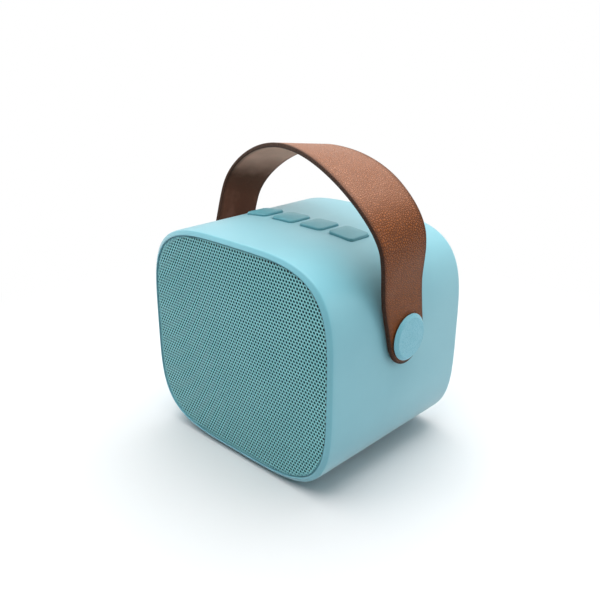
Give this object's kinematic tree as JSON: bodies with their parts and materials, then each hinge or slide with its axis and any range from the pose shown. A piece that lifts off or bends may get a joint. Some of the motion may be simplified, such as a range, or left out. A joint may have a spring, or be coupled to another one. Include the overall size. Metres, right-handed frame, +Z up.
{
  "type": "portable bluetooth speaker",
  "caption": "Small rounded-cube wireless speaker with a recessed perforated front, a row of push keys on top and a leather strap handle that swings on round side caps.",
  "frame": {"origin": "middle of the footprint, on the surface that the feet stand on", "axes": "+Z up, the perforated front faces -Y, +X to the right as seen from the front, so the bolts and the row of keys lie along X"},
  "size_m": [0.098, 0.0716, 0.1092],
  "materials": {
    "teal_paint": "soft matt teal paint on moulded ABS",
    "grille_paint": "teal powder coat on perforated steel sheet",
    "key_plastic": "teal moulded ABS, satin",
    "cap_paint": "satin teal paint on a turned steel bolt",
    "strap_leather": "pebbled brown leather with pale cut edges",
    "black_plastic": "black moulded ABS, fine texture",
    "rubber": "matt black rubber",
    "dust_cloth": "black woven dust cloth",
    "spider_cloth": "resin-dipped woven cloth",
    "screw_steel": "zinc-plated steel",
    "frame_steel": "dark painted pressed steel",
    "magnet_ferrite": "dark grey sintered ferrite, ground",
    "pole_steel": "zinc-plated mild steel",
    "cone_paper": "black pressed paper pulp",
    "former_film": "amber plastic film",
    "copper_wire": "enamelled copper wire",
    "circuit_board": "green solder mask on glass-fibre board",
    "socket_steel": "tin-plated steel sheet",
    "chip_plastic": "black moulded epoxy",
    "capacitor_can": "drawn aluminium cans",
    "white_plastic": "off-white moulded nylon",
    "cell_sleeve": "blue shrink sleeve on a steel-cased cell"
  },
  "bodies": {
    "housing": {"main_shell": "teal_paint", "front_baffle": "black_plastic", "baffle_screws": "screw_steel", "grille": "grille_paint", "grille_cloth": "dust_cloth", "rear_cover": "teal_paint", "rear_gasket": "rubber", "rear_screws": "screw_steel", "feet": "rubber", "driver_frame": "frame_steel", "driver_top_plate": "pole_steel", "driver_magnet": "magnet_ferrite", "driver_yoke": "pole_steel", "driver_gasket": "rubber", "driver_screws": "screw_steel", "driver_surround": "rubber", "driver_spider": "spider_cloth", "main_board": "circuit_board", "board_screws": "screw_steel", "usb_socket": "socket_steel", "card_socket": "socket_steel", "board_chips": "chip_plastic", "radio_module": "socket_steel", "board_capacitors": "capacitor_can", "board_connectors": "white_plastic", "battery_cell": "cell_sleeve", "battery_cradle": "black_plastic", "key_board": "circuit_board", "key_board_screws": "screw_steel", "key_switches": "black_plastic", "strap_bolt_left": "cap_paint", "strap_bolt_right": "cap_paint", "strap_washers": "rubber", "strap_nuts": "screw_steel"},
    "strap": {"strap": "strap_leather"},
    "cone": {"driver_cone": "cone_paper", "driver_dust_cap": "cone_paper", "coil_former": "former_film", "coil_winding": "copper_wire"},
    "key_1": {"key_1": "key_plastic", "switch_plunger_1": "white_plastic"},
    "key_2": {"key_2": "key_plastic", "switch_plunger_2": "white_plastic"},
    "key_3": {"key_3": "key_plastic", "switch_plunger_3": "white_plastic"},
    "key_4": {"key_4": "key_plastic", "switch_plunger_4": "white_plastic"}
  },
  "joints": [
    {"name": "strap_swing", "type": "hinge", "parent": "housing", "child": "strap", "pos_m": [0, 0, 0.0513], "axis": [1, 0, 0], "range_deg": [-75, 85]},
    {"name": "cone_stroke", "type": "slide", "parent": "housing", "child": "cone", "axis": [0, -1, 0], "range_m": [-0.0012, 0.0012], "stiffness_N_per_m": 1200, "deforming": ["driver_surround", "driver_spider"]},
    {"name": "key_1_press", "type": "slide", "parent": "housing", "child": "key_1", "axis": [0, 0, -1], "range_m": [0, 0.0006], "stiffness_N_per_m": 1500},
    {"name": "key_2_press", "type": "slide", "parent": "housing", "child": "key_2", "axis": [0, 0, -1], "range_m": [0, 0.0006], "stiffness_N_per_m": 1500},
    {"name": "key_3_press", "type": "slide", "parent": "housing", "child": "key_3", "axis": [0, 0, -1], "range_m": [0, 0.0006], "stiffness_N_per_m": 1500},
    {"name": "key_4_press", "type": "slide", "parent": "housing", "child": "key_4", "axis": [0, 0, -1], "range_m": [0, 0.0006], "stiffness_N_per_m": 1500}
  ]
}
